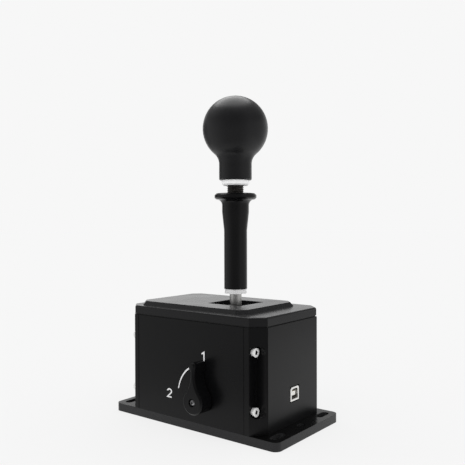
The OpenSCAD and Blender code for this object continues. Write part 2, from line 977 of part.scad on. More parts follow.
// Half section of the knob: ball, neck and the fillet that blends them
module knob_section() {
    ball_r = knob_d / 2;
    neck_r = neck_d / 2;
    fillet_x = neck_r + neck_fillet;
    fillet_z = knob_z - sqrt(pow(ball_r + neck_fillet, 2) - pow(fillet_x, 2));
    share = ball_r / (ball_r + neck_fillet);
    difference() {
        union() {
            intersection() {
                translate([0, knob_z]) circle(ball_r, $fn = 128);
                translate([0, neck_z]) square(far);
            }
            polygon([
                [0, neck_z], [neck_r - neck_edge, neck_z], [neck_r, neck_z + neck_edge],
                [neck_r, fillet_z], [0, fillet_z]
            ]);
            polygon([
                [0, fillet_z], [fillet_x, fillet_z],
                [fillet_x * share, knob_z - (knob_z - fillet_z) * share], [0, knob_z]
            ]);
        }
        translate([fillet_x, fillet_z]) circle(neck_fillet);
        square([insert_d / 2, insert_z1]);
    }
}

module shift_knob() {
    color(black) at_lever() rotate_extrude($fn = 128) knob_section();
}

module knob_insert() {
    color(bronze) at_lever() difference() {
        bar_z(insert_d - 2 * press_gap, neck_z, insert_z1);
        bar_z(stem_d + 2 * thread_gap, neck_z - over, stem_z1);
    }
}

module return_spring() {
    z0 = sleeve_z + spigot_h + spring_seat;
    color(steel) at_lever() translate([0, 0, z0])
        coil(return_r, return_wire_r, stem_z0 - spring_seat - z0, return_turns);
}

// Half section of the sleeve: straight tube, long taper, and the ring with its fillet
module sleeve_section() {
    low_r = sleeve_d / 2;
    top_r = sleeve_top_d / 2;
    ring_r = ring_d / 2;
    polygon([
        [sleeve_bore_r, sleeve_z], [low_r, sleeve_z], [low_r, taper_z0], [top_r, taper_z1],
        [top_r, ring_z0], [ring_r - ring_edge, ring_z0], [ring_r, ring_z0 + ring_edge],
        [ring_r, ring_z1 - ring_edge], [ring_r - ring_edge, ring_z1], [sleeve_bore_r, ring_z1]
    ]);
    difference() {
        translate([top_r, ring_z0 - ring_fillet]) square(ring_fillet);
        translate([top_r + ring_fillet, ring_z0 - ring_fillet]) circle(ring_fillet);
    }
    translate([stem_d / 2 + run_gap, sleeve_step])
        square([sleeve_bore_r - stem_d / 2, ring_z1 - sleeve_step]);
}

module lockout_sleeve() {
    color(black) at_lever() difference() {
        rotate_extrude() sleeve_section();
        translate([0, 0, cross_z])
            bar_x(cross_d + 2 * press_gap, -pin_half - press_gap, pin_half + press_gap);
    }
}

module lower_collar() {
    color(steel) at_lever() difference() {
        union() {
            bar_z(collar_d, collar_z, sleeve_z);
            bar_z(spigot_d - 2 * press_gap, collar_z, sleeve_z + spigot_h);
        }
        bar_z(shaft_d + 2 * run_gap, collar_z - over, far);
        translate([0, 0, cross_z]) bar_x(cross_d + 2 * press_gap, -far, far);
    }
}

module cross_pin() {
    color(steel) at_lever() translate([0, 0, cross_z]) bar_x(cross_d, -pin_half, pin_half);
}

module gate_rod() {
    color(steel) at_lever() difference() {
        bar_z(rod_d, rod_tip, rod_top);
        translate([0, 0, cross_z]) bar_x(cross_d + 2 * press_gap, -far, far);
    }
}

// Disc on z = 0 with a bevel round its upper edge
module bevelled_disc(r, h, bevel) {
    rotate_extrude() polygon([[0, 0], [r, 0], [r, h - bevel], [r - bevel, h], [0, h]]);
}

// Cutter for a hollow flank on z = 0, flared to bevel the flank's upper edge
module flared_cutter(r, h, bevel) {
    rotate_extrude($fn = 128) polygon([
        [0, -over], [r, -over], [r, h - bevel], [r + bevel + over, h + over], [0, h + over]
    ]);
}

// Selector lever lying on z = 0, pointing along +Y: two round ends joined by hollow flanks
module selector_body(h) {
    hub_r = selector_hub_d / 2;
    tip_y = selector_reach - tip_r;
    far_hub = hub_r + waist_r;
    far_tip = tip_r + waist_r;
    waist_y = (far_hub * far_hub - far_tip * far_tip + tip_y * tip_y) / (2 * tip_y);
    waist_x = sqrt(far_hub * far_hub - waist_y * waist_y);
    hub_x = waist_x * hub_r / far_hub;
    hub_y = waist_y * hub_r / far_hub;
    end_x = waist_x * tip_r / far_tip;
    end_y = tip_y + (waist_y - tip_y) * tip_r / far_tip;
    bevelled_disc(hub_r, h, selector_bevel);
    translate([0, tip_y, 0]) bevelled_disc(tip_r, h, selector_bevel);
    difference() {
        linear_extrude(h) polygon([
            [-hub_x, hub_y], [0, 0], [hub_x, hub_y], [end_x, end_y], [0, tip_y], [-end_x, end_y]
        ]);
        for (s = [-1, 1]) translate([s * waist_x, waist_y, 0]) flared_cutter(waist_r, h, selector_bevel);
    }
}

// Stands an outline on the side panel and runs it along X
module along_x(x0, x1) {
    translate([x0, 0, 0]) rotate([90, 0, 90]) linear_extrude(x1 - x0) children();
}

module selector_lever() {
    color(black) at_selector() difference() {
        translate([selector_x0, 0, 0]) rotate([90, 0, 90]) selector_body(selector_x1 - selector_x0);
        bar_x(selector_bore + 2 * press_gap, 0, selector_x1 - selector_floor);
        bar_x(m3_clear, 0, far);
        bar_x(m3_head + head_room, selector_seat, far);
    }
}

module selector_screw() {
    color(black) at_selector() translate([selector_seat, 0, 0]) rotate([0, 90, 0])
        button_screw(m3, m3_head, m3_head_h, selector_screw_len);
}

module selector_shaft() {
    color(steel) at_selector() difference() {
        union() {
            bar_x(selector_bore, panel_in, selector_x1 - selector_floor);
            cam_seat(cam_x0 - shaft_past, panel_in + over, 0);
        }
        bar_x(m3 + 2 * thread_gap, selector_seat - selector_screw_len - hole_spare, far);
        difference() {
            clip_band(shaft_in_d + over);
            bar_x(shaft_in_d - 2 * clip_groove, 0, far);
        }
    }
}

// Place of the clip that holds the cam on its shaft
module clip_band(d) {
    bar_x(d, cam_x0 - slide_gap - clip_t, cam_x0 - slide_gap);
}

// Inner end of the selector shaft, with a flat that turns the cam
module cam_seat(x0, x1, grow) {
    flat = 2.2;
    intersection() {
        bar_x(shaft_in_d + 2 * grow, x0, x1);
        box([x0, -far, -far], [x1, far, flat + grow]);
    }
}

// Radius of the cam at an angle from +Y towards +Z: both halves add up to one breadth
function cam_radius(a) =
    a < 90 ? cam_low
    : a < 180 ? cam_low + cam_rise * (a - 90)
    : a < 270 ? cam_high
    : cam_high - cam_rise * (a - 270);

module selector_cam() {
    color(steel) at_selector() difference() {
        along_x(cam_x0, panel_in - cam_gap)
            polygon([for (a = [0 : cam_step : 360 - cam_step]) cam_radius(a) * [cos(a), sin(a)]]);
        cam_seat(cam_x0 - over, panel_in, press_gap);
    }
}

module cam_clip() {
    color(steel) at_selector() difference() {
        clip_band(cam_clip_d);
        bar_x(shaft_in_d - 2 * clip_groove + 2 * press_gap, 0, far);
    }
}

module lock_slide() {
    x1 = panel_in - cam_gap;
    back = -guide_back - slide_travel - slide_guide_d / 2 - slide_edge;
    front = guide_front + slide_guide_d / 2 + slide_edge;
    window_z = cam_high + window_room;
    window_back = -cam_high - cam_lead - cam_clear;
    window_front = cam_low + cam_lead + cam_clear;
    nose_y1 = lever_y - arm_half - lock_gap - slide_travel;
    nose_z0 = pivot_z - ring_h / 2 + nose_up;
    color(steel) {
        at_selector() difference() {
            box([cam_x0, back, -slide_half], [x1, front, slide_half]);
            box([0, window_back, -window_z], [far, window_front, window_z]);
            for (y = [-guide_back, guide_front])
                along_x(0, far) translate([y - slide_travel / 2, 0])
                    slot(slide_travel + slide_guide_d + 2 * guide_room, slide_guide_d + guide_room);
        }
        box([cam_x0, nose_y1 - nose_t, selector_z + slide_half - over],
            [x1, nose_y1, nose_z0 + nose_h]);
        box([arm_end - nose_reach, nose_y1 - nose_t, nose_z0], [x1, nose_y1, nose_z0 + nose_h]);
    }
}

base_plate();
front_wall();
rear_wall();
selector_panel();
plain_panel();
top_cover();
corner_screws();
tie_bolts();
front_block();
rear_block();
block_bushes();
block_screws();
gate_plate();
gate_screws();
spring_cups();
left_spring();
right_spring();
circuit_board();
board_chips();
board_spacers();
board_screws();
usb_shell();
usb_tongue();
selector_bush();
guide_screws();
cradle();
trunnions();
axle_bushes();
detent_plunger();
tilt_magnet();
lever_hub();
stub_axles();
axle_clips();
set_screws();
lever_shaft();
lever_stem();
jam_nut();
shift_knob();
knob_insert();
return_spring();
lockout_sleeve();
lower_collar();
cross_pin();
gate_rod();
selector_lever();
selector_screw();
selector_shaft();
selector_cam();
cam_clip();
lock_slide();
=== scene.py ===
# %% [markdown]
# # A gear shifter for a driving rig
# The solids come ready made from the CAD model, each where it belongs. Blender's share is
# the look: real finishes, softened edges, a cut thread, coil springs, printed
# marks, light and camera. Everything is in metres, with the origin under the middle of the
# base plate, +X out of the selector side, +Y out of the socket end and +Z up.

# %% Load the solids
import json
import math

import bmesh
import bpy
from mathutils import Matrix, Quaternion, Vector

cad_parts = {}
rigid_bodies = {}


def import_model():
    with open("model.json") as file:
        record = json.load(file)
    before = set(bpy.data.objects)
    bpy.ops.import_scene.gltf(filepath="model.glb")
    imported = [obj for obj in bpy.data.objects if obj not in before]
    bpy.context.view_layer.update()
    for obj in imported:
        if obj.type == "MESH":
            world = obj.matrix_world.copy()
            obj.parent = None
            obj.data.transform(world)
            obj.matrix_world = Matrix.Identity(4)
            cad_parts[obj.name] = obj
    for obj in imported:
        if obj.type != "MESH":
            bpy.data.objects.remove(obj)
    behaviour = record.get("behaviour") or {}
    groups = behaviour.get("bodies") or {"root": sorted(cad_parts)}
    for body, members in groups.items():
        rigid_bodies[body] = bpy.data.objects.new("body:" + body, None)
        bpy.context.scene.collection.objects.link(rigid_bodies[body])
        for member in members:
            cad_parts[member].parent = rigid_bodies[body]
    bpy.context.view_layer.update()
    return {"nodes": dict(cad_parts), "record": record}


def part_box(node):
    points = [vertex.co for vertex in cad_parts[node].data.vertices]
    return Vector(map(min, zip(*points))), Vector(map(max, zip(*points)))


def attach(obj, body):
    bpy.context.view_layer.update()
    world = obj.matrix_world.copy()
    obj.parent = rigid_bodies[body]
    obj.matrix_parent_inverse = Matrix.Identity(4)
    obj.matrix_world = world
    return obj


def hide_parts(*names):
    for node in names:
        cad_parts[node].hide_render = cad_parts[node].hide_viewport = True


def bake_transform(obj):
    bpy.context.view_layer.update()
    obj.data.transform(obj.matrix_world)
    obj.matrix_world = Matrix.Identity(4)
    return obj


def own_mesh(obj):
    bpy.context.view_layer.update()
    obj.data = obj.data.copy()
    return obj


for leftover in list(bpy.data.objects):
    bpy.data.objects.remove(leftover)
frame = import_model()
nodes = frame["nodes"]
MM = 0.001

# %% [markdown]
# ## Camera
# The photograph was taken from a low, close viewpoint, a little above the housing. The
# viewpoint could be found by eye, but the straight edges of the box give it exactly: a
# pinhole camera was fitted to them, and its place, direction and lens are written here.

# %% Camera
CAMERA_PLACE = Vector((0.39715, 0.31850, 0.15815))
CAMERA_BACK = Vector((0.7895, 0.6137, 0.0094))
CAMERA_ROLL = math.radians(-0.146)
CAMERA_LENS = 47.05
SENSOR_WIDTH = 36.0
NEAR_CLIP = 0.01


def stand(name, data, place, turn):
    """An object of the studio, such as a camera or a lamp, at its place and turned its way."""
    made = bpy.data.objects.new(name, data)
    made.location = place
    made.rotation_mode = "QUATERNION"
    made.rotation_quaternion = turn
    bpy.context.scene.collection.objects.link(made)
    return made


camera_data = bpy.data.cameras.new("studio_camera")
camera_data.sensor_width = SENSOR_WIDTH
camera_data.lens = CAMERA_LENS
camera_data.clip_start = NEAR_CLIP
level = (-CAMERA_BACK).to_track_quat("-Z", "Y")
roll = Quaternion((0, 0, 1), CAMERA_ROLL)
bpy.context.scene.camera = stand("studio_camera", camera_data, CAMERA_PLACE, level @ roll)
print("camera", round(CAMERA_PLACE.length, 3), "m from the base plate's middle")

# %% [markdown]
# ## Tools for finishes
# A finish is a small tree of shader nodes. Two helpers keep the trees readable: one turns
# the colours of a paint chart (sRGB hex) into the linear numbers that light works with, and
# one adds a node with its settings and links.

# %% Colour and node helpers
def linear(hex_colour):
    """sRGB hex such as #1A1A1C as linear red, green, blue and alpha."""
    parts = [int(hex_colour[i:i + 2], 16) / 255 for i in (1, 3, 5)]
    return (*[c / 12.92 if c <= 0.04045 else ((c + 0.055) / 1.055) ** 2.4 for c in parts], 1.0)


def add(tree, kind, inputs=None, **settings):
    """Adds one node. Inputs are values, or the sockets that feed them."""
    made = tree.nodes.new(kind)
    for field, value in settings.items():
        setattr(made, field, value)
    for socket, value in (inputs or {}).items():
        if isinstance(value, bpy.types.NodeSocket):
            tree.links.new(value, made.inputs[socket])
        else:
            made.inputs[socket].default_value = value
    return made


print("black of the housing in linear light", [round(c, 4) for c in linear("#0C0C0D")])

# %% [markdown]
# ## How a surface gets its detail
# Real surfaces differ from flat colour in three ways: the colour drifts softly over
# centimetres, the gloss changes with handling and machining, and a fine relief breaks up the
# highlights. An image texture could carry all this, but noise in real millimetres has no
# seams and no resolution. One function lays the three layers over a shader, with the sizes
# given per finish; turned pieces also get rings along their axis. A second function paints
# light or shade into the colour of the faces that run along an axis: painted lighter sides on
# the base plate, and painted shade on the walls of the screws' hexagon sockets.

# %% Painted light and shade on the sides
def paint_side_shading(tree, colour, painted_side_shading, side_axis, side_tilt):
    """A colour, changed to a painted shading colour on faces that run along the side axis: light or shade
    painted in by facing.
    """
    facing = add(tree, "ShaderNodeNewGeometry").outputs["True Normal"]
    tilt = add(tree, "ShaderNodeSeparateXYZ", {0: facing}).outputs[side_axis]
    steep = add(tree, "ShaderNodeMath", {0: tilt}, operation="ABSOLUTE").outputs[0]
    beside = add(tree, "ShaderNodeMapRange",
                 {"Value": steep, "From Min": side_tilt[0], "From Max": side_tilt[1],
                  "To Min": 1.0, "To Max": 0.0})
    return add(tree, "ShaderNodeMix",
               {"Factor": beside.outputs["Result"], "A": colour, "B": linear(painted_side_shading)},
               data_type="RGBA").outputs["Result"]


SIDE_TILT = (0.2, 0.8)
print("sides: up to", round(math.degrees(math.asin(SIDE_TILT[0])), 1), "degrees from the axis")

# %% Layered finish
CLOUD_NOISE = {"Detail": 3.0, "Roughness": 0.55}
CLOUD_LOW, CLOUD_HIGH = 0.3, 0.7
GRIT_NOISE = {"Detail": 2.0, "Roughness": 0.6}
RING_WOBBLE = {"Distortion": 0.6, "Detail": 1.0}
WAVE_RATE = 20  # radians that the wave texture runs through in one unit


def layered_finish(name, constants, colours, cloud_mm, roughness, grit_mm, relief_mm, rings_mm=None,
                   stretch=(1, 1, 1), painted_side_shading=None, side_axis="Z", side_tilt=SIDE_TILT):
    """A named finish: two colours mixed by soft clouds, gloss and relief from grit or rings."""
    material = bpy.data.materials.new(name)
    material.use_nodes = True
    tree = material.node_tree
    shader = tree.nodes["Principled BSDF"]
    for socket, value in constants.items():
        shader.inputs[socket].default_value = value
    place = add(tree, "ShaderNodeTexCoord").outputs["Object"]
    along = add(tree, "ShaderNodeMapping", {"Vector": place, "Scale": stretch}).outputs[0]
    cloud = add(tree, "ShaderNodeTexNoise",
                {"Vector": place, "Scale": 1 / (cloud_mm * MM), **CLOUD_NOISE}).outputs["Fac"]
    colour = add(tree, "ShaderNodeMix",
                 {"Factor": cloud, "A": linear(colours[0]), "B": linear(colours[1])},
                 data_type="RGBA").outputs["Result"]
    # Painted light and shade: faces that run along an axis take another colour by their facing.
    if painted_side_shading:
        colour = paint_side_shading(tree, colour, painted_side_shading, side_axis, side_tilt)
    tree.links.new(colour, shader.inputs["Base Color"])
    relief = add(tree, "ShaderNodeTexNoise",
                 {"Vector": along, "Scale": 1 / (grit_mm * MM), **GRIT_NOISE}).outputs["Fac"]
    if rings_mm:
        rings = add(tree, "ShaderNodeTexWave",
                    {"Vector": place, "Scale": math.tau / (WAVE_RATE * rings_mm * MM), **RING_WOBBLE},
                    wave_type="BANDS", bands_direction="Z")
        relief = add(tree, "ShaderNodeMath", {0: rings.outputs["Fac"], 1: relief},
                     operation="ADD").outputs[0]
    gloss = add(tree, "ShaderNodeMapRange",
                {"Value": cloud, "From Min": CLOUD_LOW, "From Max": CLOUD_HIGH,
                 "To Min": roughness[0], "To Max": roughness[1]})
    tree.links.new(gloss.outputs["Result"], shader.inputs["Roughness"])
    bump = add(tree, "ShaderNodeBump", {"Height": relief, "Distance": relief_mm * MM})
    tree.links.new(bump.outputs["Normal"], shader.inputs["Normal"])
    return material


finishes = {}
print("layers of a finish: clouds, gloss, relief")

# %% [markdown]
# ## Black anodised aluminium
# The housing, base plate and selector are milled from aluminium, bead blasted and anodised
# black. The dye sits in a clear oxide skin, so the metal no longer shows: the surface is a
# deep charcoal with a soft sheen that grows strong at a low angle, as on the top cover. A
# metal shader would tint its reflections black at every angle, so a dielectric is right. The
# sealed, blasted skin mirrors less than solid oxide, and its index is matched lower. Blasting
# leaves pits of about 0.1 mm, drawn here about ten times as coarse so that they can show. The
# cover is a little greyer than the walls. The base plate's top is blasted coarser and stays
# darkest. Its upright sides get a lighter colour by their facing, painted light that sets the
# plate off from the walls above it. The sleeve keeps the fine rings of the lathe under its black skin.

# %% Housing finish
finishes["black_anodised"] = layered_finish(
    "bead_blasted_black_anodised_aluminium",
    {"Metallic": 0.0, "IOR": 1.27},
    ("#09090A", "#0C0C0D"), cloud_mm=28, roughness=(0.27, 0.33), grit_mm=1.1, relief_mm=0.003)
matte_black = layered_finish(
    "matte_black_anodised_aluminium",
    {"Metallic": 0.0, "IOR": 1.3},
    ("#131314", "#171718"), cloud_mm=26, roughness=(0.24, 0.29), grit_mm=1.1, relief_mm=0.004)
# Painted light: the base plate's upright sides take a lighter colour by their facing, in place of the
# light they catch.
coarse_black = layered_finish(
    "coarse_blasted_black_anodised_aluminium",
    {"Metallic": 0.0, "IOR": 1.28},
    ("#050506", "#080808"), cloud_mm=24, roughness=(0.24, 0.3), grit_mm=1.3, relief_mm=0.006,
    painted_side_shading="#262627")
turned_black = layered_finish(
    "turned_black_anodised_aluminium",
    {"Metallic": 0.0, "IOR": 1.34},
    ("#070708", "#0A0A0B"), cloud_mm=18, roughness=(0.18, 0.24), grit_mm=1.4, relief_mm=0.004,
    rings_mm=2.4)
print("housing and sleeve finishes")

# %% [markdown]
# ## Knob, stem and bright metal
# The ball knob is moulded in black ABS and left satin: a broad soft highlight, no grain. The
# stem and the set screws are steel with black oxide, a thin brown-black skin that stays
# metallic. The corner screws are zinc plated, a bright, cloudy skin; the faces that run along
# their axis, the walls of the hexagon socket, are coloured near black as painted shade in the
# socket. The selector's screw is plated in a darker grey. Shaft, pins and springs are ground
# stainless steel. The collar and the inner blocks are turned aluminium and
# the nut is bead blasted, all clear anodised: the oxide skin scatters light, so they look whiter
# and softer than bare metal, and the shader is only partly metallic. Turning leaves rings about
# 0.1 mm apart, drawn coarser here so that they show.

# %% Knob and metal finishes
finishes["knob_black"] = layered_finish(
    "satin_moulded_black_abs",
    {"Metallic": 0.0, "IOR": 1.35},
    ("#141416", "#181819"), cloud_mm=22, roughness=(0.3, 0.34), grit_mm=2.0, relief_mm=0.003)
finishes["black_steel"] = layered_finish(
    "black_oxide_steel",
    {"Metallic": 1.0},
    ("#5A5856", "#65625F"), cloud_mm=6, roughness=(0.32, 0.45), grit_mm=0.8, relief_mm=0.004)
finishes["bright_steel"] = layered_finish(
    "ground_stainless_steel",
    {"Metallic": 1.0},
    ("#E6E5E3", "#EEEDEB"), cloud_mm=9, roughness=(0.28, 0.36), grit_mm=0.9, relief_mm=0.002,
    stretch=(1, 1, 0.15))
finishes["bright_aluminium"] = layered_finish(
    "turned_clear_anodised_aluminium",
    {"Metallic": 0.25},
    ("#F0F0F1", "#F6F6F6"), cloud_mm=7, roughness=(0.5, 0.58), grit_mm=0.8, relief_mm=0.003,
    rings_mm=1.8)
grey_steel = layered_finish(
    "black_zinc_plated_steel",
    {"Metallic": 1.0},
    ("#98989A", "#A4A4A5"), cloud_mm=4, roughness=(0.3, 0.38), grit_mm=0.6, relief_mm=0.002)
matte_silver = layered_finish(
    "bead_blasted_clear_anodised_aluminium",
    {"Metallic": 0.1},
    ("#F4F4F5", "#F9F9F9"), cloud_mm=7, roughness=(0.5, 0.58), grit_mm=0.7, relief_mm=0.003)
# Painted shade: faces that run along the screw's axis, chiefly the hexagon socket's walls, take near
# black.
bright_zinc = layered_finish(
    "bright_zinc_plated_steel",
    {"Metallic": 0.35},
    ("#F4F4F3", "#FAFAF9"), cloud_mm=9, roughness=(0.34, 0.38), grit_mm=0.9, relief_mm=0.0005,
    painted_side_shading="#0C0C0D", side_axis="Y", side_tilt=(0.06, 0.16))
print("knob, steel and aluminium finishes")

# %% [markdown]
# ## Bushes, board and socket
# The inner bushes are sintered bronze, porous and oily. The circuit board is glass epoxy
# under green solder mask, its chips are moulded epoxy. The socket has a drawn steel shell
# with bright tin plate and a tongue of white nylon with gold-plated contacts.

# %% Small finishes
finishes["bronze"] = layered_finish(
    "oiled_sintered_bronze",
    {"Metallic": 1.0},
    ("#A67B43", "#B98D55"), cloud_mm=4, roughness=(0.34, 0.5), grit_mm=0.5, relief_mm=0.01)
finishes["board_green"] = layered_finish(
    "solder_mask_on_glass_epoxy",
    {"Metallic": 0.0, "IOR": 1.52},
    ("#0D4A2A", "#12592F"), cloud_mm=5, roughness=(0.28, 0.4), grit_mm=1.0, relief_mm=0.01)
finishes["chip_black"] = layered_finish(
    "moulded_chip_epoxy",
    {"Metallic": 0.0, "IOR": 1.5},
    ("#161617", "#1D1D1E"), cloud_mm=3, roughness=(0.5, 0.6), grit_mm=0.4, relief_mm=0.008)
finishes["socket_white"] = layered_finish(
    "moulded_white_nylon",
    {"Metallic": 0.0, "IOR": 1.53},
    ("#E4E2DC", "#EDECE7"), cloud_mm=4, roughness=(0.42, 0.5), grit_mm=0.6, relief_mm=0.004)
tin_plate = layered_finish(
    "bright_tin_plate",
    {"Metallic": 1.0},
    ("#E8E7E4", "#F0EFEC"), cloud_mm=5, roughness=(0.28, 0.36), grit_mm=0.7, relief_mm=0.003)
gold_plate = layered_finish(
    "gold_plated_contact",
    {"Metallic": 1.0},
    ("#D9B25A", "#E6C36B"), cloud_mm=3, roughness=(0.2, 0.28), grit_mm=0.5, relief_mm=0.001)
print("bronze, board and socket finishes")

# %% [markdown]
# ## Giving each solid its finish
# The CAD record says which material each solid is made of. Its finish goes into the solid's
# own material slot. A few solids of the same material are worked differently, and have a
# finish of their own.

# %% Finishes on the solids
OWN_FINISH = {
    "base_plate": coarse_black, "top_cover": matte_black, "lockout_sleeve": turned_black,
    "jam_nut": matte_silver, "selector_screw": grey_steel, "usb_shell": tin_plate,
    "corner_screws": bright_zinc,
}
for row in frame["record"]["subparts"]:
    solid = nodes[row["node"]]
    solid.material_slots[0].material = OWN_FINISH.get(row["node"], finishes[row["material_slot"]])
print(sum(len(n.material_slots) for n in nodes.values()), "slots filled")

# %% [markdown]
# ## Eased edges
# No machined edge is perfectly sharp: a file or a blast rounds it by a few tenths of a
# millimetre, and that narrow band catches the light and draws the outline of each piece. The
# solids stay as they are, and three modifiers do it live. The imported faces are first
# joined along their borders and flat triangles merged, because a bevel needs one connected
# skin with no stray lines across its faces.

# %% Joined skin
SMOOTH_ANGLE = math.radians(28)
JOIN_DISTANCE = 0.002 * MM


def mesh_group(name):
    """A new node group that takes a mesh and gives one back, and the socket the mesh comes from."""
    group = bpy.data.node_groups.new(name, "GeometryNodeTree")
    for way in ("INPUT", "OUTPUT"):
        group.interface.new_socket("Geometry", in_out=way, socket_type="NodeSocketGeometry")
    return group, add(group, "NodeGroupInput").outputs[0]


joined_skin, skin = mesh_group("joined_skin")
merged = add(joined_skin, "GeometryNodeMergeByDistance", {"Geometry": skin, "Distance": JOIN_DISTANCE})
plain = add(joined_skin, "GeometryNodeRemoveAttribute",
            {"Geometry": merged.outputs[0], "Name": "custom_normal"})
soft = add(joined_skin, "GeometryNodeSetShadeSmooth", {"Geometry": plain.outputs[0]}, domain="FACE")
crease = add(joined_skin, "GeometryNodeInputMeshEdgeAngle").outputs["Unsigned Angle"]
sharp = add(joined_skin, "FunctionNodeCompare", {0: crease, 1: SMOOTH_ANGLE}, operation="GREATER_THAN")
creased = add(joined_skin, "GeometryNodeSetShadeSmooth",
              {"Geometry": soft.outputs[0], "Selection": sharp.outputs[0], "Shade Smooth": False},
              domain="EDGE")
add(joined_skin, "NodeGroupOutput", {0: creased.outputs[0]})
print(len(joined_skin.nodes), "nodes join a skin")

# %% Edges of the solids that show
EDGE_MM = {
    "base_plate": 0.45, "front_wall": 0.3, "rear_wall": 0.3, "selector_panel": 0.25,
    "plain_panel": 0.25, "top_cover": 0.55, "selector_lever": 0.45, "lockout_sleeve": 0.3,
    "jam_nut": 0.25, "lower_collar": 0.3, "usb_shell": 0.3, "usb_tongue": 0.2,
    "corner_screws": 0.3, "selector_screw": 0.12,
}
EDGE_SEGMENTS = 2
FLAT_ANGLE = math.radians(0.4)
for name, width in EDGE_MM.items():
    solid = nodes[name]
    solid.modifiers.new("joined_skin", "NODES").node_group = joined_skin
    flat = solid.modifiers.new("flat_faces", "DECIMATE")
    flat.decimate_type = "DISSOLVE"
    flat.angle_limit = FLAT_ANGLE
    ease = solid.modifiers.new("eased_edges", "BEVEL")
    ease.width = width * MM
    ease.segments = EDGE_SEGMENTS
    ease.limit_method = "ANGLE"
    ease.angle_limit = SMOOTH_ANGLE
    ease.harden_normals = True
print(len(EDGE_MM), "solids with eased edges")

# %% [markdown]
# ## Rim of the cover
# The outer rim of the cover is rounded more than the other edges and draws a light line round
# the top. The CAD cover has a plain chamfer there. Its two edges get a wider bevel, and a
# small node group picks them out by height and by their outward bend, so that the plateau's
# crisp edges stay as they are.

# %% Rounded rim
LEDGE_Z, CHAMFER_H = 92.4 * MM, 0.8 * MM
RIM_REACH = 0.6 * CHAMFER_H  # up and down from the middle of the chamfer
RIM_SEGMENTS = 4
rim_weight, skin = mesh_group("rim_weight")
spot = add(rim_weight, "GeometryNodeInputPosition").outputs[0]
height = add(rim_weight, "ShaderNodeSeparateXYZ", {0: spot}).outputs["Z"]
near_rim = add(rim_weight, "FunctionNodeCompare",
               {0: height, 1: LEDGE_Z - CHAMFER_H / 2, "Epsilon": RIM_REACH}, operation="EQUAL")
bend = add(rim_weight, "GeometryNodeInputMeshEdgeAngle").outputs["Signed Angle"]
convex = add(rim_weight, "FunctionNodeCompare", {0: bend, 1: SMOOTH_ANGLE}, operation="GREATER_THAN")
chosen = add(rim_weight, "FunctionNodeBooleanMath", {0: near_rim.outputs[0], 1: convex.outputs[0]})
weighted = add(rim_weight, "GeometryNodeStoreNamedAttribute",
               {"Geometry": skin, "Name": "bevel_weight_edge", "Value": chosen.outputs[0]},
               data_type="FLOAT", domain="EDGE")
add(rim_weight, "NodeGroupOutput", {0: weighted.outputs[0]})
cover = nodes["top_cover"]
cover.modifiers.new("rim_weight", "NODES").node_group = rim_weight
cover.modifiers.move(len(cover.modifiers) - 1, len(cover.modifiers) - 2)
cover.modifiers["eased_edges"].limit_method = "WEIGHT"
cover.modifiers["eased_edges"].segments = RIM_SEGMENTS
print("cover:", [m.name for m in cover.modifiers])

# %% [markdown]
# ## New meshes
# The thread, the springs, the printed marks and the socket's contacts are finer than the
# solids and are made here. Each could be a curve with a profile, but all of them are rings of
# points that follow a path, so two helpers serve them: one skins the rings and closes both
# ends, the other turns the finished mesh into an object with its finish.

# %% Mesh helpers
SHARP_ANGLE = math.radians(40)


def skin_rings(mesh, rings):
    """Joins each ring of points to the next one, and closes the first and the last."""
    count = len(rings[0])
    for first, second in zip(rings, rings[1:]):
        for i in range(count):
            k = (i + 1) % count
            mesh.faces.new((first[i], first[k], second[k], second[i]))
    mesh.faces.new(list(reversed(rings[0])))
    mesh.faces.new(rings[-1])
    bmesh.ops.recalc_face_normals(mesh, faces=mesh.faces)


def new_object(name, mesh, finish, smooth=False):
    """A linked object from a finished mesh; a smooth one keeps only its sharp edges hard."""
    data = bpy.data.meshes.new(name)
    mesh.to_mesh(data)
    mesh.free()
    if smooth:
        data.shade_smooth()
        data.set_sharp_from_angle(angle=SHARP_ANGLE)
    data.materials.append(finish)
    made = bpy.data.objects.new(name, data)
    bpy.context.scene.collection.objects.link(made)
    return made


print("edges over", round(math.degrees(SHARP_ANGLE)), "degrees stay hard")

# %% [markdown]
# ## Threaded stem
# Between the pull-up ring and the nut a few turns of the stem's thread show. A bump would
# look flat in the outline, so the thread is cut in the mesh: rings of points up the stem,
# each point pulled in to the root where the helix passes. The foot has the plain flange that
# the sleeve rests on, and the hole that takes the shaft.

# %% Form of the thread
STEM_CREST = 6.85 * MM
STEM_TOP = 213.3 * MM
THREAD_START = 178.0 * MM
THREAD_PITCH = 1.5 * MM
THREAD_DEPTH = 0.55 * MM
FLANK = 0.38  # width of a flank, in pitches
HALF_CREST = 0.15  # half the width of the crest, in flanks


def thread_radius(z, turn):
    """Radius of the stem at a height and a share of a turn: flat crest, straight flanks, narrow root."""
    phase = ((z - THREAD_START) / THREAD_PITCH - turn) % 1.0
    ramp = min(1.0, (z - THREAD_START) / THREAD_PITCH, max(0.0, (STEM_TOP - z) / THREAD_PITCH))
    groove = max(0.0, min(1.0, (0.5 - abs(phase - 0.5)) / FLANK - HALF_CREST))
    return STEM_CREST - THREAD_DEPTH * groove * ramp


print("stem with", round((STEM_TOP - THREAD_START) / THREAD_PITCH, 1), "turns of thread")

